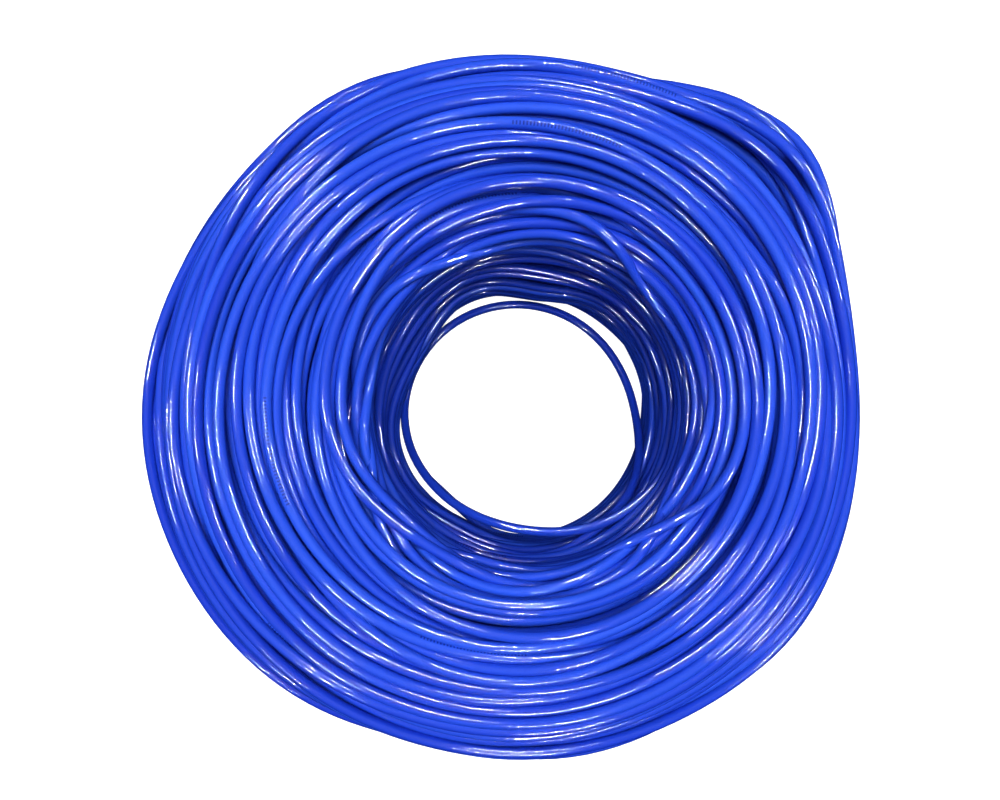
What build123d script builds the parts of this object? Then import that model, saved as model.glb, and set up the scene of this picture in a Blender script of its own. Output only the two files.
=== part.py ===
from build123d import *
import os
from math import cos, exp, pi, radians, sin, sqrt, tan

os.makedirs("parts", exist_ok=True)

# A bulk coil of four-pair network cable, wound on a former, slid off it and stood on its end.
# One cable runs through every winding, so each winding is the next stretch of that cable.
# +Z is up, the floor is z = 0, and the origin is under the middle of the coil's outline box.

# ---- driving dimensions, in millimetres and degrees ----
cable_diameter = 5.2
eye_radius = 79.0
coil_radius = 181.0
coil_height = 152.0
eye_offset = (15.0, 2.0)
origin_shift = (0.7, -1.0)

# Where turns slipped, the outline swells or sinks: direction, height, half width.
outline_swells = [(43.0, 30.0, 12.5), (-35.0, 11.0, 14.0), (-104.0, -6.0, 11.0), (200.0, 3.0, 30.0)]

# Rounding of the coil's cross-section.
crown_run = 60.0
crown_drop = 75.0
foot_radius = 40.0
shoulder_run = 32.0
shoulder_drop = 34.0

# The swelling grows with this power of the share of the way out, so few turns inside follow it.
swell_power = 5

# The windings, counted from the eye outwards, with a hair of clearance between them.
winding_count = 6
winding_clearance = 0.2
outline_points = 28

# The four twisted pairs inside the cable, and the cut ends where they show.
copper_radius = 0.255
wire_clearance = 0.005
insulation_radius = 0.44
pair_circle_radius = 1.25
jacket_bore_radius = 2.15
ripcord_radius = 0.2
cut_end_length = 30.0
pair_lays = {"blue": 14.7, "orange": 17.6, "green": 13.4, "brown": 19.2}
stick_out = {"blue": 1.6, "orange": 0.9, "green": 2.1, "brown": 1.3}


coil_width = coil_radius - eye_radius


def swell(angle):
    """How far the outline stands out of its circle in a direction given in degrees."""
    total = 0.0
    for direction, height, half_width in outline_swells:
        turned = (angle - direction + 180.0) % 360.0 - 180.0
        total += height * exp(-0.5 * (turned / half_width) ** 2)
    return total


def ring_point(share, angle):
    """A point of the ring that lies `share` of the way from the eye's wall to the outline."""
    radius = eye_radius + share * (coil_radius - eye_radius) + share**swell_power * swell(angle)
    x = origin_shift[0] + (1 - share) * eye_offset[0] + radius * cos(radians(angle))
    y = origin_shift[1] + (1 - share) * eye_offset[1] + radius * sin(radians(angle))
    return (x, y)


def ring_points(share):
    step = 360.0 / outline_points
    return [ring_point(share, step * i) for i in range(outline_points)]


def rounding_depth(distance, run, drop):
    """How far an elliptic rounding has fallen away, `distance` past the line where it starts."""
    return drop * (1 - sqrt(1 - min(1.0, max(0.0, distance / run)) ** 2))


def crown_height(share):
    outer_fall = rounding_depth(share * coil_width - (coil_width - crown_run), crown_run, crown_drop)
    inner_fall = rounding_depth(shoulder_run - share * coil_width, shoulder_run, shoulder_drop)
    return coil_height - outer_fall - inner_fall


def foot_height(share):
    return rounding_depth(share * coil_width - (coil_width - foot_radius), foot_radius, foot_radius)


def ring_loft(shares, height_at):
    """A solid through the rings at some shares, each at the height that the coil's rounding gives it."""
    with BuildPart() as rounding:
        for share in shares:
            with BuildSketch(Plane.XY.offset(height_at(share))):
                with BuildLine():
                    Spline(*ring_points(share), periodic=True)
                make_face()
        loft()
    return rounding.part


def shares_between(level, steep):
    """Shares for a loft, closer together towards its steep end."""
    steps = 5
    return [level + (steep - level) * sin(radians(90 * i / steps)) for i in range(steps + 1)]


eye_centre = (origin_shift[0] + eye_offset[0], origin_shift[1] + eye_offset[1])
flat_top_share = 1 - crown_run / coil_width
shoulder_share = shoulder_run / coil_width
flat_foot_share = 1 - foot_radius / coil_width
least_rim = 0.012

# ---- the windings: rings of the coil, one inside the next, that share out its cross-section ----
for number in range(1, winding_count + 1):
    inner_share = (number - 1) / winding_count
    outer_share = number / winding_count - (winding_clearance / coil_width if number < winding_count else 0)
    foot_top = foot_height(outer_share)
    shoulder_rim = min(outer_share - least_rim, shoulder_share)
    has_shoulder = inner_share < shoulder_share
    crown_foot = crown_height(shoulder_rim if has_shoulder else outer_share)
    with BuildPart() as winding:
        with BuildSketch(Plane.XY.offset(foot_top)):
            with BuildLine():
                Spline(*ring_points(outer_share), periodic=True)
            make_face()
        extrude(amount=crown_foot - foot_top)
        if outer_share > flat_top_share:
            rim = max(inner_share + least_rim, flat_top_share)
            add(ring_loft(shares_between(rim, outer_share), crown_height))
        if outer_share > flat_foot_share:
            rim = max(inner_share + least_rim, flat_foot_share)
            add(ring_loft(shares_between(rim, outer_share), foot_height))
        with BuildSketch(Plane.XY.offset(-1)):
            with BuildLine():
                Spline(*ring_points(inner_share), periodic=True)
            make_face()
        extrude(amount=coil_height + 2, mode=Mode.SUBTRACT)
        if has_shoulder:
            add(ring_loft(shares_between(shoulder_rim, inner_share), crown_height), mode=Mode.SUBTRACT)
    name = f"winding_{number}"
    winding.part.label = name
    print(name, "solids", len(winding.part.solids()), "volume", round(winding.part.volume))
    export_step(winding.part, f"parts/{name}.step")

# ---- the loose turn: one slack turn of the innermost layer that dropped into the eye ----
# Direction from the eye's centre, distance from it and height, from wall to wall.
loose_turn_route = [
    (309, 75.6, 76),
    (325, 75.6, 62),
    (341, 75.4, 37),
    (358, 74.6, 13),
    (376, 73.4, 4.2),
    (396, 72.2, 2.8),
    (416, 71.6, 2.7),
    (436, 71.5, 2.6),
    (456, 71.8, 2.7),
    (476, 72.4, 2.6),
    (496, 73.2, 2.7),
    (516, 74.0, 2.8),
    (535, 74.4, 5.0),
    (552, 73.2, 14),
    (568, 70.8, 30),
    (585, 68.4, 46),
    (602, 66.8, 58),
    (619, 66.4, 66),
    (636, 68.2, 72),
    (652, 71.8, 78),
    (667, 75.4, 83),
]


def from_eye(angle, radius, height):
    x = eye_centre[0] + radius * cos(radians(angle))
    y = eye_centre[1] + radius * sin(radians(angle))
    return Vector(x, y, height)


def corner_radii(points):
    """The radius of each corner's arc: 0.45 of its shorter run over the tangent of half its turn."""
    radii = []
    for before, corner, after in zip(points, points[1:], points[2:]):
        incoming = corner - before
        outgoing = after - corner
        half_turn = radians(incoming.get_angle(outgoing)) / 2
        radii.append(0.45 * min(incoming.length, outgoing.length) / tan(half_turn))
    return radii


loose_points = [from_eye(*row) for row in loose_turn_route]
loose_radii = corner_radii(loose_points)
print("loose turn radii", [round(radius, 1) for radius in loose_radii])
with BuildPart() as loose_inner_turn:
    with BuildLine() as loose_path:
        FilletPolyline(*loose_points, radius=loose_radii)
    with BuildSketch(Plane(origin=loose_path.wire() @ 0, z_dir=loose_path.wire() % 0)):
        Circle(cable_diameter / 2)
    sweep(path=loose_path.wire())
swept = loose_inner_turn.part.volume / (pi * cable_diameter**2 / 4)
print("loose turn length", round(loose_path.wire().length, 1), "from volume", round(swept, 1))
loose_inner_turn.part.label = "loose_inner_turn"
export_step(loose_inner_turn.part, "parts/loose_inner_turn.step")

# ---- the two cut ends of the cable, each lying straight on the floor ----
# The inner end lies in the eye, under the loose turn, and the outer end under the coil's outer wall.
# Each frame has its origin at the cut, with its X axis pointing back along the cable.
inner_cut_angle = 217.0
inner_cut_radius = 71.8
outer_cut_angle = 246.0
outer_cut_radius = 164.0


def end_plane(centre, angle, radius, turn, lean):
    """The frame of a cut end: X runs back along the cable, at `turn` and `lean` to the radius."""
    origin = (
        centre[0] + radius * cos(radians(angle)),
        centre[1] + radius * sin(radians(angle)),
        cable_diameter / 2,
    )
    heading = radians(angle + turn + lean)
    return Plane(origin=origin, x_dir=(cos(heading), sin(heading), 0), z_dir=(0, 0, 1))


inner_end = end_plane(eye_centre, inner_cut_angle, inner_cut_radius, 90.0, 10.0).location
outer_end = end_plane(origin_shift, outer_cut_angle, outer_cut_radius, -90.0, -3.0).location

with BuildPart() as jacket_end:
    with BuildSketch(Plane.YZ):
        Circle(cable_diameter / 2)
        Circle(jacket_bore_radius, mode=Mode.SUBTRACT)
    extrude(amount=cut_end_length)

with BuildPart() as ripcord_end:
    with BuildSketch(Plane.YZ.offset(-1.2)):
        Circle(ripcord_radius)
    extrude(amount=cut_end_length + 1.2)


def place_ends(piece, name, places):
    """Write one node that holds the piece at each of the given places."""
    with BuildPart() as placed:
        for place in places:
            add(piece.moved(place))
    placed.part.label = name
    print(name, "solids", len(placed.part.solids()), "valid", placed.part.is_valid)
    export_step(placed.part, f"parts/{name}.step")


place_ends(jacket_end.part, "inner_end_jacket", [inner_end])
place_ends(jacket_end.part, "outer_end_jacket", [outer_end])
place_ends(ripcord_end.part, "ripcord", [inner_end, outer_end])

# ---- the conductors: each pair's two wires twist around one another ----
for pair_number, (colour, lay) in enumerate(pair_lays.items()):
    quadrant = radians(45 + 90 * pair_number)
    pair_y = pair_circle_radius * cos(quadrant)
    pair_z = pair_circle_radius * sin(quadrant)
    start = -stick_out[colour]
    pair_axis = Axis((start, pair_y, pair_z), (1, 0, 0))
    twisted_length = cut_end_length - start
    with BuildPart() as insulation:
        with BuildLine():
            lay_path = Helix(lay, twisted_length, insulation_radius, pair_axis.position, pair_axis.direction)
        with BuildSketch(Plane(origin=lay_path @ 0, z_dir=lay_path % 0)):
            Circle(insulation_radius - wire_clearance)
            Circle(copper_radius + wire_clearance, mode=Mode.SUBTRACT)
        sweep(path=lay_path, is_frenet=True)
    with BuildPart() as copper:
        with BuildLine():
            lay_path = Helix(lay, twisted_length, insulation_radius, pair_axis.position, pair_axis.direction)
        with BuildSketch(Plane(origin=lay_path @ 0, z_dir=lay_path % 0)):
            Circle(copper_radius)
        sweep(path=lay_path, is_frenet=True)
    for wire_name, turn in [(colour, 0), (f"white_{colour}", 180)]:
        twist = turn + 37 * pair_number
        place_ends(insulation.part.rotate(pair_axis, twist), f"{wire_name}_insulation", [inner_end, outer_end])
        place_ends(copper.part.rotate(pair_axis, twist), f"{wire_name}_copper", [inner_end, outer_end])
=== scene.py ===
"""A bulk coil of blue network cable: one cable of about 305 m, wound in layers round an open eye."""
import bpy
import numpy as np
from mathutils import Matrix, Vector


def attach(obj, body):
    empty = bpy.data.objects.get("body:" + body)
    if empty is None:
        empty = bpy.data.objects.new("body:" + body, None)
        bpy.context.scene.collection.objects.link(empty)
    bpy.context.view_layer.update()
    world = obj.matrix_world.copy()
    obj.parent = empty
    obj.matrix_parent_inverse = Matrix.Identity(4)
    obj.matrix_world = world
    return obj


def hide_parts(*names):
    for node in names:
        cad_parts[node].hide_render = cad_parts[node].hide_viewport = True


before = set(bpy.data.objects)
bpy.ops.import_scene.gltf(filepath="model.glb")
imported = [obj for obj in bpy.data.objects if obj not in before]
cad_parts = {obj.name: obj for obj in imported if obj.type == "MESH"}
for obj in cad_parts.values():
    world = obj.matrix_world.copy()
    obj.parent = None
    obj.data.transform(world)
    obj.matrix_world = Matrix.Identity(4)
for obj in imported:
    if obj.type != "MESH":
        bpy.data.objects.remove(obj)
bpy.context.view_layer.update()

# ---- sizes in metres and angles in degrees, as in the CAD model unless a comment says otherwise ----
CABLE = 0.0052
EYE_RADIUS = 0.079
COIL_RADIUS = 0.181
COIL_HEIGHT = 0.152
COIL_WIDTH = COIL_RADIUS - EYE_RADIUS
EYE_OFFSET = np.array([0.015, 0.002])
ORIGIN_SHIFT = np.array([0.0007, -0.001])
# Direction, height and half width. The first stands out further here than in the CAD model.
OUTLINE_SWELLS = [(43.0, 0.036, 12.5), (-35.0, 0.011, 14.0), (-104.0, -0.006, 11.0), (200.0, 0.003, 30.0)]
SWELL_POWER = 5
CROWN_RUN, CROWN_DROP = 0.060, 0.075
SHOULDER_RUN, SHOULDER_DROP = 0.032, 0.034
FOOT_RADIUS = 0.040
EYE_CENTRE = ORIGIN_SHIFT + EYE_OFFSET

# The slack turn in the eye: direction from the eye's centre, distance from it and height.
LOOSE_TURN = [
    (309, 0.0756, 0.076), (325, 0.0756, 0.062), (341, 0.0754, 0.037), (358, 0.0746, 0.013),
    (376, 0.0734, 0.0042), (396, 0.0722, 0.0028), (416, 0.0716, 0.0027), (436, 0.0715, 0.0026),
    (456, 0.0718, 0.0027), (476, 0.0724, 0.0026), (496, 0.0732, 0.0027), (516, 0.0740, 0.0028),
    (535, 0.0744, 0.0050), (552, 0.0732, 0.014), (568, 0.0708, 0.030), (585, 0.0684, 0.046),
    (602, 0.0668, 0.058), (619, 0.0664, 0.066), (636, 0.0682, 0.072), (652, 0.0718, 0.078),
    (667, 0.0754, 0.083),
]

# The back of each cut end's jacket, where the rest of the cable meets it, and its heading there.
INNER_JOIN = (EYE_CENTRE[0] - 0.0354, EYE_CENTRE[1] - 0.0637, CABLE / 2)
INNER_HEADING = 317.0
OUTER_JOIN = (ORIGIN_SHIFT[0] - 0.0934, ORIGIN_SHIFT[1] - 0.1362, CABLE / 2)
OUTER_HEADING = 333.0

# ---- how the cable is wound ----
WINDINGS = 6
LAYERS = 24
STATIONS = 36
FIRST_ANGLE = 241.0
TURN_PITCH = 0.0082
SEED = 3
ROUNDS = 260
LEAD_STATIONS = 28
PADDING = 0.05
FADE_STATIONS = 24
CUT_CLIMBS = [0.6, 0.7, 0.75, 0.5, 0.25]
TUBE_SIDES = 12
STEPS_PER_STATION = 4
LAYER_MARGIN = 0.6 * CABLE
LAYER_SMOOTHING = STATIONS // 5
CLIMB_SPREAD = 18

# The eye's wall: how far a turn may give into the eye, and where the low turns lean into it.
WALL_GIVE = 0.0040
EYE_BULGES = [(82.0, 0.0085, 15.0), (152.0, 0.0095, 20.0), (242.0, 0.0045, 14.0)]
LEAN_ABOVE_SLACK, LEAN_BESIDE_SLACK = 1.1, 0.52
LEAN_TOP, LEAN_FADE = 0.09, 0.04
LEAN_START, LEAN_DEPTH = 1.3, 0.10
SLACK_TOP = 0.012

# How far and how quickly the turns wander off their layers, and where they do so more or less.
INNER_SHARE, INNER_DRIFT = 0.30, 0.022
FREE_DEPTH = 0.030
OUTER_START, OUTER_SPAN = 0.72, 0.28
SLIDE_SCALE = 0.7
INNER_CALM, RIM_CALM = 0.85, 0.7
LEAST_SHARE = -0.03
SHOULDER_FOLLOW = 0.09
DRIFT_LEVEL, DRIFT_LEAST = 0.05, 0.2
QUICK_WANDER, SLOW_WANDER = 5.0, 14.0
SLIDE_INSIDE, SLIDE_INNER, SLIDE_CROWN, SLIDE_OUTER = 0.012, 0.020, 0.062, 0.022
HEIGHT_WANDER, CROWN_WANDER, OUTER_WANDER = 0.0028, 0.0015, 0.0030

# The inner lead's first turns, the turns beside the slack turn's two ends, and the outer lead.
INNER_LEAD = np.array([0.07285, 0.0771, 0.0798, 0.0812, 0.0816])
INNER_LEAD_STRAIGHT = 0.013
SLACK_LEAVES, SLACK_LEAVES_HEIGHT, SLACK_STATIONS = 291.0, 0.0775, STATIONS + 3
LEAVING_IN, LEAVING_UP = (0.0025, 0.0018, -0.0003), (0.0772, 0.0773, 0.0772)
REJOINING_IN, REJOINING_UP = (-0.0008, 0.0014, 0.0025), (0.0845, 0.0850, 0.0852)
LEAD_SHARE, LEAD_SHIFT = 0.985, 0.085
LEAD_FALL = 0.7
LEAD_BENDS = ((-2, 0.013, 0), (-3, 0.028, 12), (-4, 0.030, 24))

# The relaxation that parts most overlapping turns: its steps, and how strongly each rule acts.
PAIR_REACH = 1.5 * CABLE
PAIR_ROUNDS, SHARE_ROUNDS = 8, 4
SHARE_STEPS, SHARE_DAMPING = 12, 0.8
PUSH, PUSH_SHARING = 1.3, 0.55
BEND_STIFFNESS, LAID_PULL = 0.09, 0.012
WALL_PUSH, CROWN_PUSH, FOOT_GIVE = 0.2, 0.3, 0.002

# ---- finishes and light ----
JACKET_DEEP = (0.012, 0.040, 0.43)
JACKET_BRIGHT = (0.027, 0.094, 0.60)
PRINT_DARK = (0.009, 0.032, 0.26)
PRINT_LENGTH, PRINT_TWIST, PRINT_EDGE = 0.05, 2.3, 0.93
DASHES_PER_METRE, DASH_SHARE = 640.0, 0.45
RIPPLE_HEIGHT = 0.00012
TINT_SCALE, RIPPLE_SCALE, WEAR_SCALE = (1.6, 0.2, 0.2), (285.0, 0.9, 0.9), (60.0, 1.4, 1.4)
WIRE_WHITE = (0.86, 0.86, 0.82)
PAIR_COLOURS = {"blue": (0.03, 0.14, 0.62), "orange": (0.88, 0.27, 0.02),
                "green": (0.02, 0.34, 0.09), "brown": (0.20, 0.085, 0.03)}
SKY_STRENGTH = 0.42
OVERHEAD_PLACE, OVERHEAD_ENERGY, OVERHEAD_SIZE = (0.0, 0.1, 1.7), 31.0, 1.1
# Small strip lights, each a direction and a height in degrees, that make the highlights.
GLINT_LIGHTS = [(20, 46), (72, 58), (128, 50), (180, 60), (235, 50), (283, 57), (325, 52)]
GLINT_DISTANCE = 1.6
GLINT_ENERGY, GLINT_LENGTH, GLINT_WIDTH = 13.0, 0.26, 0.012
FILL_AZIMUTHS, FILL_ENERGY = (45, 135, 225, 315), 4.0
FILL_DISTANCE, FILL_RISE, FILL_SIZE = 1.7, 0.25, 0.9
FLOOR_SHADE, FLOOR_GLOW = 0.42, 0.80


def add_camera():
    camera_data = bpy.data.cameras.new("camera")
    camera_data.lens = 25.2
    camera_data.sensor_width = 36.0
    camera_data.shift_x = 0.022
    camera_data.shift_y = 0.038
    camera = bpy.data.objects.new("camera", camera_data)
    camera.location = (EYE_CENTRE[0] - 0.026, EYE_CENTRE[1] - 0.016, 0.457)
    bpy.context.collection.objects.link(camera)
    bpy.context.scene.camera = camera


def swell(angle):
    """How far the outline stands out of its circle in each direction."""
    total = np.zeros_like(angle, dtype=float)
    for direction, height, half_width in OUTLINE_SWELLS:
        turned = (angle - direction + 180.0) % 360.0 - 180.0
        total += height * np.exp(-0.5 * (turned / half_width) ** 2)
    return total


def bulge(angle, height):
    """How far the turns low on the eye's wall lean into the eye, but less beside the slack turn."""
    total = np.zeros_like(angle, dtype=float)
    for direction, depth, half_width in EYE_BULGES:
        turned = (angle - direction + 180.0) % 360.0 - 180.0
        total += depth * np.exp(-0.5 * (turned / half_width) ** 2)
    above = LEAN_ABOVE_SLACK * np.clip((LEAN_TOP - height) / LEAN_FADE, 0, 1)
    return total * np.where(height > SLACK_TOP, above, LEAN_BESIDE_SLACK)


def line_length(angle):
    """The length of the line from the eye's wall to the unswollen outline in each direction."""
    across = COIL_WIDTH * np.stack([np.cos(np.radians(angle)), np.sin(np.radians(angle))], -1)
    return np.linalg.norm(across - EYE_OFFSET, axis=-1)


def swollen(share):
    return np.maximum(share, 0) ** SWELL_POWER


def distance_at(share, angle):
    return share * line_length(angle) + swollen(share) * swell(angle)


def share_at(distance, angle):
    """The share of the way from wall to outline that lies at a distance from the wall."""
    length, extra = line_length(angle), swell(angle)
    share = distance / length
    for _ in range(SHARE_STEPS):
        slope = length + SWELL_POWER * np.maximum(share, 0) ** (SWELL_POWER - 1) * extra
        share = share - SHARE_DAMPING * (share * length + swollen(share) * extra - distance) / slope
    return share


def rounding(distance, run, drop):
    """How far an elliptic rounding has fallen away, `distance` past the line where it starts."""
    return drop * (1 - np.sqrt(1 - np.clip(distance / run, 0, 1) ** 2))


def crown_height(share):
    outside = rounding(share * COIL_WIDTH - (COIL_WIDTH - CROWN_RUN), CROWN_RUN, CROWN_DROP)
    inside = rounding(SHOULDER_RUN - share * COIL_WIDTH, SHOULDER_RUN, SHOULDER_DROP)
    return COIL_HEIGHT - outside - inside


def foot_height(share):
    return rounding(share * COIL_WIDTH - (COIL_WIDTH - FOOT_RADIUS), FOOT_RADIUS, FOOT_RADIUS)


def points_at(distance, height, angle):
    """Points in the frame, from distance to the eye's wall, height and direction."""
    share = share_at(distance, angle)
    radius = EYE_RADIUS + share * COIL_WIDTH + swollen(share) * swell(angle)
    x = ORIGIN_SHIFT[0] + (1 - share) * EYE_OFFSET[0] + radius * np.cos(np.radians(angle))
    y = ORIGIN_SHIFT[1] + (1 - share) * EYE_OFFSET[1] + radius * np.sin(np.radians(angle))
    return np.stack([x, y, height], -1)


def from_eye(angle, radius, height):
    turn = np.radians(angle)
    return (EYE_CENTRE[0] + radius * np.cos(turn), EYE_CENTRE[1] + radius * np.sin(turn), height)


def smooth_noise(rng, count, length):
    """Noise of unit spread that changes over about `length` samples."""
    reach = max(3, int(3 * length))
    steps = np.arange(-reach, reach + 1)
    weights = np.exp(-0.5 * (steps / length) ** 2)
    weights /= np.sqrt((weights**2).sum())
    return np.convolve(rng.standard_normal(count + 2 * reach), weights, "valid")[:count]


def smoothed(values, reach):
    weights = np.hanning(2 * reach + 3)[1:-1]
    weights /= weights.sum()
    return np.convolve(np.pad(values, reach, "edge"), weights, "valid")


def lay_layers(rng):
    """The cable as it was wound: up one layer and down the next, from the eye outwards."""
    shares, heights = [], []
    for layer in range(LAYERS):
        share = (layer + 0.5) / LAYERS
        low = foot_height(share) + LAYER_MARGIN
        high = crown_height(share) - LAYER_MARGIN
        count = int(round((high - low) / TURN_PITCH * STATIONS))
        count += int(rng.integers(-CLIMB_SPREAD, CLIMB_SPREAD + 1))
        climb = (np.arange(count) + 0.5) / count
        if layer % 2:
            climb = 1 - climb
        shares.append(np.full(count, share))
        heights.append(low + climb * (high - low))
    # The outer lead needs the last sample to lie in the direction of the first.
    spare = (1 - sum(len(part) for part in shares) - LEAD_STATIONS) % STATIONS
    shares.append(np.full(spare + LEAD_STATIONS, shares[-1][-1]))
    heights.append(np.full(spare + LEAD_STATIONS, heights[-1][-1]))
    ends = np.cumsum([len(part) for part in shares[:LAYERS]])
    share = smoothed(np.concatenate(shares), LAYER_SMOOTHING)
    height = smoothed(np.concatenate(heights), LAYER_SMOOTHING)
    return share, height, ends


def near_pairs(x, z, active, turns):
    """Pairs of samples at one station that lie close enough to touch soon."""
    firsts, seconds = [], []
    x_rows, z_rows, rows = (line.reshape(turns, STATIONS) for line in (x, z, active))
    for station in range(STATIONS):
        here = np.nonzero(rows[:, station])[0]
        xs, zs = x_rows[here, station], z_rows[here, station]
        near = np.abs(xs[:, None] - xs[None]) < PAIR_REACH
        near &= np.abs(zs[:, None] - zs[None]) < PAIR_REACH
        first, second = np.nonzero(np.triu(near, 1))
        firsts.append(here[first] * STATIONS + station)
        seconds.append(here[second] * STATIONS + station)
    return np.concatenate(firsts), np.concatenate(seconds)


def push_apart(x, z, pairs, ends, moves):
    """Add to `moves` what parts each overlapping pair, at stations or half-way to the next."""
    first, second = pairs
    gap_x = sum(x[second + e] - x[first + e] for e in ends) / len(ends)
    gap_z = sum(z[second + e] - z[first + e] for e in ends) / len(ends)
    gap = np.hypot(gap_x, gap_z) + 1e-9
    overlap = np.maximum(0, CABLE - gap)
    step_x, step_z = 0.5 * overlap * gap_x / gap, 0.5 * overlap * gap_z / gap
    for samples, sign in ((first, -1), (second, 1)):
        for end in ends:
            moves[0] += sign * np.bincount(samples + end, step_x, len(x))
            moves[1] += sign * np.bincount(samples + end, step_z, len(x))
            moves[2] += np.bincount(samples + end, overlap > 0, len(x))


def settle(x, z, angle, count, held, dropped):
    """Push overlapping turns apart, keep the cable smooth and hold it within the coil's shape.

    Most overlaps go. At the eye's rim and in the outermost turns a few millimetres can stay.
    """
    turns = len(x) // STATIONS
    active = (np.arange(len(x)) < count) & ~dropped
    laid_x, laid_z = x.copy(), z.copy()
    outline = distance_at(np.ones(len(x)), angle) - CABLE / 2
    wall = CABLE / 2 - bulge(angle, z)
    nearest = wall - np.where(z > SLACK_TOP, WALL_GIVE, 0)
    for turn in range(ROUNDS):
        if turn % PAIR_ROUNDS == 0:
            whole = near_pairs(x, z, active, turns)
            half_x, half_z = (x + np.roll(x, -1)) / 2, (z + np.roll(z, -1)) / 2
            halves = near_pairs(half_x, half_z, active & np.roll(active, -1), turns)
        moves = np.zeros((3, len(x)))
        push_apart(x, z, whole, (0,), moves)
        push_apart(x, z, halves, (0, 1), moves)
        scale = PUSH / np.maximum(1.0, PUSH_SHARING * moves[2])
        x += moves[0] * scale
        z += moves[1] * scale
        for line, laid in ((x, laid_x), (z, laid_z)):
            moved = (line - laid)[:count]
            bend = np.zeros(count)
            bend[2:-2] = moved[:-4] - 4 * moved[1:-3] + 6 * moved[2:-2] - 4 * moved[3:-1] + moved[4:]
            line[:count] -= BEND_STIFFNESS * bend
        x += LAID_PULL * (laid_x - x)
        z += LAID_PULL * (laid_z - z)
        if turn % SHARE_ROUNDS == 0:
            share = share_at(x, angle)
        x += WALL_PUSH * np.maximum(0, wall - x)
        x = np.clip(x, nearest, outline)
        z = np.maximum(z, np.maximum(foot_height(share) - FOOT_GIVE, 0) + CABLE / 2)
        z -= CROWN_PUSH * np.maximum(0, z - (crown_height(share) - CABLE / 2))
        x[held], z[held] = laid_x[held], laid_z[held]
    return x, z


def wind():
    """The whole cable's control points in winding order, and where each layer ends."""
    rng = np.random.default_rng(SEED)
    share, height, ends = lay_layers(rng)
    count = len(share)
    free = 1 - np.clip((crown_height(share) - height) / FREE_DEPTH, 0, 1)
    outer = np.clip((share - OUTER_START) / OUTER_SPAN, 0, 1)
    quick, slow = smooth_noise(rng, count, QUICK_WANDER), smooth_noise(rng, count, SLOW_WANDER)
    inner = np.clip(1 - share / INNER_SHARE, 0, 1)
    slide = SLIDE_SCALE * (SLIDE_INSIDE + SLIDE_CROWN * free + SLIDE_OUTER * outer)
    slid = share + slide * (1 - INNER_CALM * inner) * quick + (slide + SLIDE_INNER * inner) * slow
    slid = np.clip(slid, LEAST_SHARE, 1)
    crown_before = crown_height(np.maximum(share, SHOULDER_FOLLOW))
    height = height + free * (crown_height(np.maximum(slid, SHOULDER_FOLLOW)) - crown_before)
    share = slid
    wander = HEIGHT_WANDER + CROWN_WANDER * free + OUTER_WANDER * outer
    height = height + wander * smooth_noise(rng, count, QUICK_WANDER)
    drift = INNER_DRIFT * inner * (1 - RIM_CALM * free) * np.clip(height / DRIFT_LEVEL, DRIFT_LEAST, 1)
    height = height + drift * smooth_noise(rng, count, SLOW_WANDER)
    turns = -(-count // STATIONS)
    angle = FIRST_ANGLE + 360.0 / STATIONS * np.arange(turns * STATIONS)
    lean = bulge(angle[:count], height) * np.clip(LEAN_START - share / LEAN_DEPTH, 0, 1)
    padding = np.full(turns * STATIONS - count, PADDING)
    x = np.concatenate([distance_at(share, angle[:count]) - lean, padding])
    z = np.concatenate([height, padding])

    # The inner lead, the wall turns that the slack turn leaves and rejoins, and the outer lead.
    lead = np.arange(len(INNER_LEAD))
    x[lead] = INNER_LEAD - EYE_RADIUS
    z[lead] = CABLE / 2
    fade = 0.5 + 0.5 * np.cos(np.pi * np.arange(1, FADE_STATIONS + 1) / FADE_STATIONS)
    first = len(INNER_LEAD)
    z[first : first + FADE_STATIONS] += (CABLE / 2 - z[first]) * fade
    wall = np.arange(first, ends[0])
    here = wall[angle[wall] % 360 == SLACK_LEAVES]
    leaves = here[np.argmin(np.abs(z[here] - SLACK_LEAVES_HEIGHT))]
    rejoins = leaves + SLACK_STATIONS
    before, after = np.arange(leaves - 2, leaves + 1), np.arange(rejoins, rejoins + 3)
    x[before], x[after] = LEAVING_IN, REJOINING_IN
    beyond = slice(rejoins + 3, rejoins + 3 + FADE_STATIONS)
    z[beyond] += (REJOINING_UP[-1] - z[rejoins + 3]) * fade
    z[before], z[after] = LEAVING_UP, REJOINING_UP
    drop = np.arange(count - LEAD_STATIONS, count)
    fall = np.clip(np.arange(LEAD_STATIONS) / (LEAD_FALL * LEAD_STATIONS), 0, 1)
    fall = fall * fall * (3 - 2 * fall)
    start = z[drop[0]]
    z[drop] = start + fall * (CABLE / 2 - start)
    x[drop] = distance_at(LEAD_SHARE - LEAD_SHIFT * fall**4, angle[drop])
    held = np.concatenate([lead, before, after, drop])
    dropped = np.zeros(len(x), bool)
    dropped[leaves + 1 : rejoins] = True

    x, z = settle(x, z, angle, count, held, dropped)
    points = points_at(x[:count], z[:count], angle[:count])
    points[0] = INNER_JOIN
    turned = np.radians(INNER_HEADING)
    points[1] = points[0] + INNER_LEAD_STRAIGHT * np.array([np.cos(turned), np.sin(turned), 0])
    # The outer lead bends a little more than the coil, to meet its jacket in line.
    points[-1] = OUTER_JOIN
    for sample, length, bend in LEAD_BENDS:
        turned = np.radians(OUTER_HEADING - bend)
        points[sample] = points[sample + 1] - length * np.array([np.cos(turned), np.sin(turned), 0])
    return points, ends, leaves, rejoins


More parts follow.
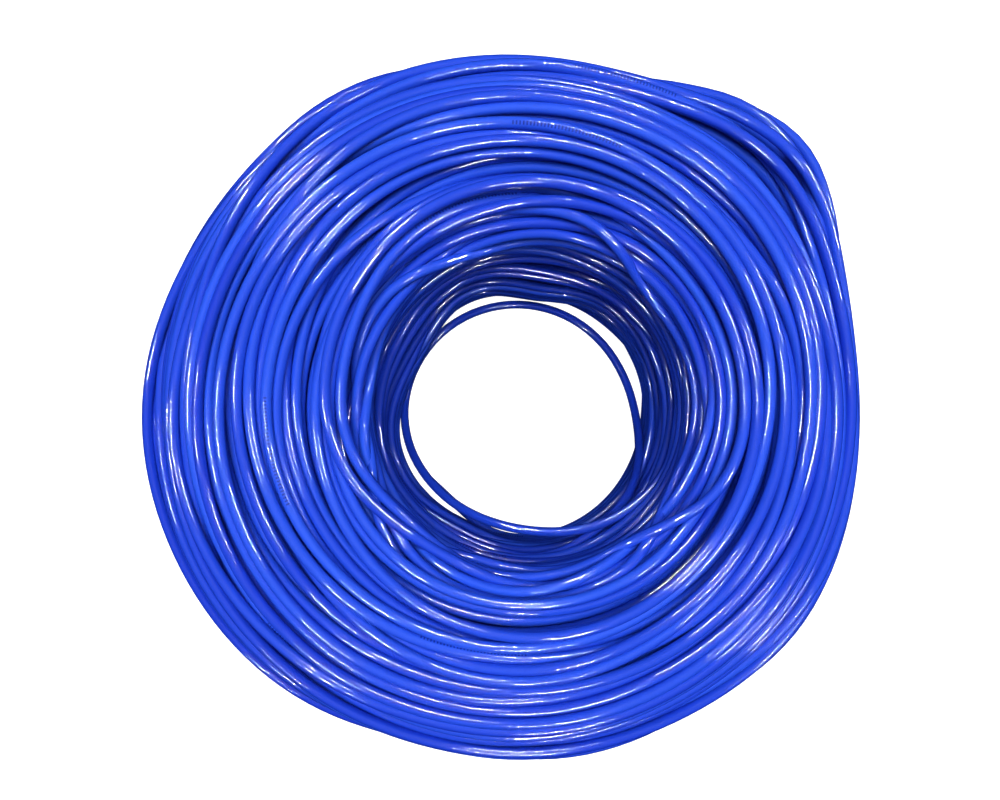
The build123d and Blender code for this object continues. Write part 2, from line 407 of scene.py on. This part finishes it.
def stretches():
    """The cable cut into the windings' stretches, each cut half-way up a layer, inside the coil."""
    points, ends, leaves, rejoins = wind()
    cuts = [0]
    for number, climbed in zip(range(1, WINDINGS), CUT_CLIMBS):
        layer = number * LAYERS // WINDINGS
        cuts.append(round(ends[layer - 1] + climbed * (ends[layer] - ends[layer - 1])))
    cuts.append(len(points))
    loose = np.array([from_eye(*row) for row in LOOSE_TURN])
    parts = []
    for start, stop in zip(cuts, cuts[1:]):
        part = points[start:stop]
        if start == 0:
            part = np.concatenate([points[: leaves + 1], loose, points[rejoins:stop]])
        else:
            part = np.concatenate([[(points[start - 1] + points[start]) / 2], part])
        if stop < len(points):
            part = np.concatenate([part, [(points[stop - 1] + points[stop]) / 2]])
        parts.append(part)
    return parts


def nurbs_curve(name, points):
    """A curve of one open NURBS spline with the given control points."""
    curve = bpy.data.curves.new(name, "CURVE")
    curve.dimensions = "3D"
    curve.resolution_u = STEPS_PER_STATION
    spline = curve.splines.new("NURBS")
    spline.points.add(len(points) - 1)
    spline.points.foreach_set("co", np.c_[points, np.ones(len(points))].ravel())
    spline.order_u = 3
    spline.use_endpoint_u = True
    return curve


def curve_path(curve):
    """The points of a curve's own smooth line."""
    holder = bpy.data.objects.new("route", curve)
    mesh = bpy.data.meshes.new_from_object(holder)
    path = np.empty(len(mesh.vertices) * 3)
    mesh.vertices.foreach_get("co", path)
    bpy.data.objects.remove(holder)
    bpy.data.meshes.remove(mesh)
    return path.reshape(-1, 3)


def tube_mesh(name, path, radius, start):
    """A closed tube round a path that never runs straight up, with its length stored along it."""
    count = len(path)
    tangent = np.gradient(path, axis=0)
    tangent /= np.linalg.norm(tangent, axis=1)[:, None]
    side = np.cross(tangent, (0, 0, 1))
    side /= np.linalg.norm(side, axis=1)[:, None]
    up = np.cross(side, tangent)
    turn = 2 * np.pi * np.arange(TUBE_SIDES) / TUBE_SIDES
    rings = path[:, None] + radius * (
        side[:, None] * np.cos(turn)[None, :, None] + up[:, None] * np.sin(turn)[None, :, None]
    )
    ring = np.arange(count - 1)[:, None] * TUBE_SIDES
    here = np.arange(TUBE_SIDES)[None]
    after = (here + 1) % TUBE_SIDES
    quads = np.stack([ring + here, ring + TUBE_SIDES + here, ring + TUBE_SIDES + after, ring + after], -1)
    faces = quads.shape[0] * quads.shape[1]
    last = (count - 1) * TUBE_SIDES
    caps = np.concatenate([np.arange(TUBE_SIDES), last + np.arange(TUBE_SIDES)[::-1]])
    mesh = bpy.data.meshes.new(name)
    mesh.vertices.add(count * TUBE_SIDES)
    mesh.vertices.foreach_set("co", rings.ravel())
    mesh.loops.add(faces * 4 + 2 * TUBE_SIDES)
    mesh.loops.foreach_set("vertex_index", np.concatenate([quads.ravel(), caps]).astype(np.int32))
    mesh.polygons.add(faces + 2)
    starts = np.concatenate([np.arange(faces) * 4, [faces * 4, faces * 4 + TUBE_SIDES]])
    mesh.polygons.foreach_set("loop_start", starts.astype(np.int32))
    mesh.polygons.foreach_set("use_smooth", np.concatenate([np.ones(faces, bool), [False, False]]))
    mesh.update(calc_edges=True)
    mesh.validate()
    along = start + np.concatenate([[0], np.cumsum(np.linalg.norm(np.diff(path, axis=0), axis=1))])
    lie = np.stack(np.broadcast_arrays(along[:, None], np.cos(turn)[None], np.sin(turn)[None]), -1)
    mesh.attributes.new("lie", "FLOAT_VECTOR", "POINT").data.foreach_set("vector", lie.ravel())
    return mesh, float(along[-1] - start)


def node_material(name):
    """A new material with its nodes, links and shader."""
    material = bpy.data.materials.new(name)
    material.use_nodes = True
    nodes, links = material.node_tree.nodes, material.node_tree.links
    return material, nodes, links, nodes["Principled BSDF"]


def colour_ramp(nodes, links, factor, stops):
    ramp = nodes.new("ShaderNodeValToRGB")
    elements = ramp.color_ramp.elements
    for element, (position, colour) in zip([elements[0], elements[1]], stops[:2]):
        element.position, element.color = position, (*colour, 1)
    for position, colour in stops[2:]:
        elements.new(position).color = (*colour, 1)
    links.new(factor, ramp.inputs["Fac"])
    return ramp


def stretched(nodes, links, source, scale):
    mapping = nodes.new("ShaderNodeMapping")
    mapping.inputs["Scale"].default_value = scale
    links.new(source, mapping.inputs["Vector"])
    return mapping.outputs["Vector"]


def noise_on(nodes, links, vector, detail=2.0):
    noise = nodes.new("ShaderNodeTexNoise")
    noise.inputs["Scale"].default_value = 1.0
    noise.inputs["Detail"].default_value = detail
    links.new(vector, noise.inputs["Vector"])
    return noise.outputs["Fac"]


def math_node(nodes, links, operation, first, second):
    node = nodes.new("ShaderNodeMath")
    node.operation = operation
    for socket, value in zip(node.inputs, (first, second)):
        if isinstance(value, (int, float)):
            socket.default_value = value
        else:
            links.new(value, socket)
    return node.outputs["Value"]


def mixed(nodes, links, factor, base, colour):
    """The base colour where the factor is 0, and the given colour where it is 1."""
    mix = nodes.new("ShaderNodeMix")
    mix.data_type = "RGBA"
    links.new(factor, mix.inputs["Factor"])
    links.new(base, mix.inputs[6])
    mix.inputs[7].default_value = (*colour, 1)
    return mix.outputs[2]


def jacket_material(name, source):
    """Glossy PVC whose surface waves over the twisted pairs; `source` gives metres along the cable."""
    material, nodes, links, shader = node_material(name)
    if source == "lie":
        where = nodes.new("ShaderNodeAttribute")
        where.attribute_name = "lie"
        lie = where.outputs["Vector"]
    else:
        where = nodes.new("ShaderNodeTexCoord")
        lie = stretched(nodes, links, where.outputs["Object"], (1.0, 1.0, 1.0))

    tint = noise_on(nodes, links, stretched(nodes, links, lie, TINT_SCALE))
    colour = colour_ramp(nodes, links, tint, [(0.30, JACKET_DEEP), (0.70, JACKET_BRIGHT)])
    base = colour.outputs["Color"]
    if source == "lie":
        # A line of short dark dashes along one side stands in for the print.
        split = nodes.new("ShaderNodeSeparateXYZ")
        links.new(lie, split.inputs["Vector"])
        metre = math_node(nodes, links, "FRACT", split.outputs["X"], 0.0)
        dashes = math_node(nodes, links, "MULTIPLY", split.outputs["X"], DASHES_PER_METRE)
        dash = math_node(nodes, links, "FRACT", dashes, 0.0)
        mask = math_node(nodes, links, "LESS_THAN", metre, PRINT_LENGTH)
        dark = math_node(nodes, links, "LESS_THAN", dash, DASH_SHARE)
        mask = math_node(nodes, links, "MULTIPLY", mask, dark)
        facing = math_node(nodes, links, "MULTIPLY", split.outputs["X"], PRINT_TWIST)
        cosine = math_node(nodes, links, "COSINE", facing, 0.0)
        sine = math_node(nodes, links, "SINE", facing, 0.0)
        across = math_node(nodes, links, "MULTIPLY", split.outputs["Y"], cosine)
        upward = math_node(nodes, links, "MULTIPLY", split.outputs["Z"], sine)
        side = math_node(nodes, links, "ADD", across, upward)
        band = math_node(nodes, links, "GREATER_THAN", side, PRINT_EDGE)
        mask = math_node(nodes, links, "MULTIPLY", mask, band)
        base = mixed(nodes, links, mask, base, PRINT_DARK)
    links.new(base, shader.inputs["Base Color"])

    ripple = noise_on(nodes, links, stretched(nodes, links, lie, RIPPLE_SCALE), 1.0)
    wear = noise_on(nodes, links, stretched(nodes, links, lie, WEAR_SCALE), 3.0)
    rough = nodes.new("ShaderNodeMapRange")
    rough.inputs["To Min"].default_value = 0.04
    rough.inputs["To Max"].default_value = 0.09
    links.new(wear, rough.inputs["Value"])
    links.new(rough.outputs["Result"], shader.inputs["Roughness"])
    bump = nodes.new("ShaderNodeBump")
    bump.inputs["Strength"].default_value = 0.5
    bump.inputs["Distance"].default_value = RIPPLE_HEIGHT
    links.new(ripple, bump.inputs["Height"])
    links.new(bump.outputs["Normal"], shader.inputs["Normal"])
    shader.inputs["IOR"].default_value = 1.5
    return material


def wire_material(name, colour, stripe=None):
    """Polyethylene insulation with a faint mottle, and on a white wire its pair's coloured rings."""
    material, nodes, links, shader = node_material(name)
    where = nodes.new("ShaderNodeTexCoord")
    mottle = noise_on(nodes, links, stretched(nodes, links, where.outputs["Object"], (900.0,) * 3))
    shade = [0.82 * c for c in colour]
    ramp = colour_ramp(nodes, links, mottle, [(0.3, shade), (0.7, colour)])
    base = ramp.outputs["Color"]
    if stripe:
        wave = nodes.new("ShaderNodeTexWave")
        wave.bands_direction = "DIAGONAL"
        wave.inputs["Scale"].default_value = 70.0
        wave.inputs["Distortion"].default_value = 0.6
        links.new(where.outputs["Object"], wave.inputs["Vector"])
        rings = colour_ramp(nodes, links, wave.outputs["Fac"], [(0.78, (0, 0, 0)), (0.84, (1, 1, 1))])
        base = mixed(nodes, links, rings.outputs["Color"], base, stripe)
    links.new(base, shader.inputs["Base Color"])
    shader.inputs["Roughness"].default_value = 0.38
    return material


def copper_material():
    material, nodes, links, shader = node_material("copper_wire")
    where = nodes.new("ShaderNodeTexCoord")
    drawn = noise_on(nodes, links, stretched(nodes, links, where.outputs["Object"], (2500.0,) * 3), 3.0)
    ramp = colour_ramp(nodes, links, drawn, [(0.3, (0.62, 0.26, 0.13)), (0.7, (0.90, 0.48, 0.30))])
    links.new(ramp.outputs["Color"], shader.inputs["Base Color"])
    shader.inputs["Metallic"].default_value = 1.0
    shader.inputs["Roughness"].default_value = 0.28
    return material


def thread_material():
    material, nodes, links, shader = node_material("ripcord_thread")
    where = nodes.new("ShaderNodeTexCoord")
    wave = nodes.new("ShaderNodeTexWave")
    wave.bands_direction = "DIAGONAL"
    wave.inputs["Scale"].default_value = 900.0
    links.new(where.outputs["Object"], wave.inputs["Vector"])
    stops = [(0.2, (0.62, 0.60, 0.52)), (0.8, (0.90, 0.88, 0.80))]
    ramp = colour_ramp(nodes, links, wave.outputs["Fac"], stops)
    links.new(ramp.outputs["Color"], shader.inputs["Base Color"])
    shader.inputs["Roughness"].default_value = 0.8
    shader.inputs["Sheen Weight"].default_value = 0.3
    return material


def dress(node, material):
    """Give a CAD node that stays visible its finished material."""
    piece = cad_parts[node]
    for slot in piece.material_slots:
        slot.material = material
    if not piece.material_slots:
        piece.data.materials.append(material)


def add_light(name, place, target, energy, size, length=None):
    light_data = bpy.data.lights.new(name, "AREA")
    light_data.energy = energy
    light_data.shape = "RECTANGLE" if length else "DISK"
    light_data.size = size
    if length:
        light_data.size_y = length
    light = bpy.data.objects.new(name, light_data)
    light.location = place
    light.rotation_euler = (Vector(target) - Vector(place)).to_track_quat("-Z", "Y").to_euler()
    bpy.context.collection.objects.link(light)
    return light


def add_sky():
    """A soft sky that is brightest straight up and dark at and below the horizon."""
    world = bpy.data.worlds.new("studio")
    bpy.context.scene.world = world
    world.use_nodes = True
    nodes, links = world.node_tree.nodes, world.node_tree.links
    where = nodes.new("ShaderNodeTexCoord")
    split = nodes.new("ShaderNodeSeparateXYZ")
    links.new(where.outputs["Generated"], split.inputs["Vector"])
    stops = [(0.0, (0.02,) * 3), (0.25, (0.10,) * 3), (1.0, (1.0,) * 3)]
    ramp = colour_ramp(nodes, links, split.outputs["Z"], stops)
    links.new(ramp.outputs["Color"], nodes["Background"].inputs["Color"])
    nodes["Background"].inputs["Strength"].default_value = SKY_STRENGTH


def add_floor():
    """A pale seamless floor that rises into a backdrop far from the coil, and adds no light to it."""
    rings = [(0.0, 0.0), (4.0, 0.0), (5.0, 0.4), (5.6, 1.4), (5.8, 5.0)]
    sides = 48
    vertices, faces = [], []
    for radius, height in rings[1:]:
        for k in range(sides):
            turn = 2 * np.pi * k / sides
            vertices.append((radius * np.cos(turn), radius * np.sin(turn), height))
    faces.append(list(range(sides)))
    for row in range(len(rings) - 2):
        for k in range(sides):
            here, after = row * sides + k, row * sides + (k + 1) % sides
            faces.append((here, after, after + sides, here + sides))
    mesh = bpy.data.meshes.new("floor")
    mesh.from_pydata(vertices, [], faces)
    mesh.polygons.foreach_set("use_smooth", [len(face) == 4 for face in faces])
    floor = bpy.data.objects.new("floor", mesh)
    material, _, _, shader = node_material("floor_white")
    shader.inputs["Base Color"].default_value = (FLOOR_SHADE, FLOOR_SHADE, FLOOR_SHADE, 1)
    shader.inputs["Roughness"].default_value = 0.8
    shader.inputs["Specular IOR Level"].default_value = 0.0
    shader.inputs["Emission Color"].default_value = (1, 1, 1, 1)
    shader.inputs["Emission Strength"].default_value = FLOOR_GLOW
    mesh.materials.append(material)
    floor.visible_diffuse = False
    floor.visible_glossy = False
    floor.visible_shadow = False
    bpy.context.collection.objects.link(floor)


add_camera()
jacket = jacket_material("jacket_blue", "lie")
laid = 0.0
for number, points in enumerate(stretches(), 1):
    path = curve_path(nurbs_curve(f"route_{number}", points))
    mesh, length = tube_mesh(f"winding_{number}_cable", path, CABLE / 2, laid)
    laid += length
    mesh.materials.append(jacket)
    piece = bpy.data.objects.new(f"winding_{number}_cable", mesh)
    bpy.context.collection.objects.link(piece)
    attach(piece, "root")
    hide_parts(f"winding_{number}", *(["loose_inner_turn"] if number == 1 else []))
    print(piece.name, "length", round(length, 3), "faces", len(mesh.polygons))
print("whole cable", round(laid, 2))

plain_jacket = jacket_material("jacket_blue_end", "object")
for node in ("inner_end_jacket", "outer_end_jacket"):
    dress(node, plain_jacket)
copper, thread = copper_material(), thread_material()
dress("ripcord", thread)
for pair, colour in PAIR_COLOURS.items():
    dress(f"{pair}_insulation", wire_material(f"insulation_{pair}", colour))
    dress(f"white_{pair}_insulation", wire_material(f"insulation_white_{pair}", WIRE_WHITE, colour))
    dress(f"{pair}_copper", copper)
    dress(f"white_{pair}_copper", copper)

bpy.context.scene.view_settings.view_transform = "Standard"
bpy.context.scene.view_settings.look = "Medium High Contrast"
add_sky()
overhead = add_light("overhead", OVERHEAD_PLACE, (0, 0, 0), OVERHEAD_ENERGY, OVERHEAD_SIZE)
overhead.visible_glossy = False
for azimuth in FILL_AZIMUTHS:
    turn = np.radians(azimuth)
    away = FILL_DISTANCE * np.array([np.cos(turn), np.sin(turn), FILL_RISE])
    fill = add_light(f"fill_{azimuth}", away, (0, 0, 0.07), FILL_ENERGY, FILL_SIZE)
    fill.visible_glossy = False
for azimuth, elevation in GLINT_LIGHTS:
    turn, rise = np.radians(azimuth), np.radians(elevation)
    away = GLINT_DISTANCE * np.array([np.cos(turn) * np.cos(rise), np.sin(turn) * np.cos(rise), np.sin(rise)])
    glint = add_light(f"glint_{azimuth}", away, (0, 0, 0.1), GLINT_ENERGY, GLINT_LENGTH, GLINT_WIDTH)
    glint.visible_diffuse = False
add_floor()
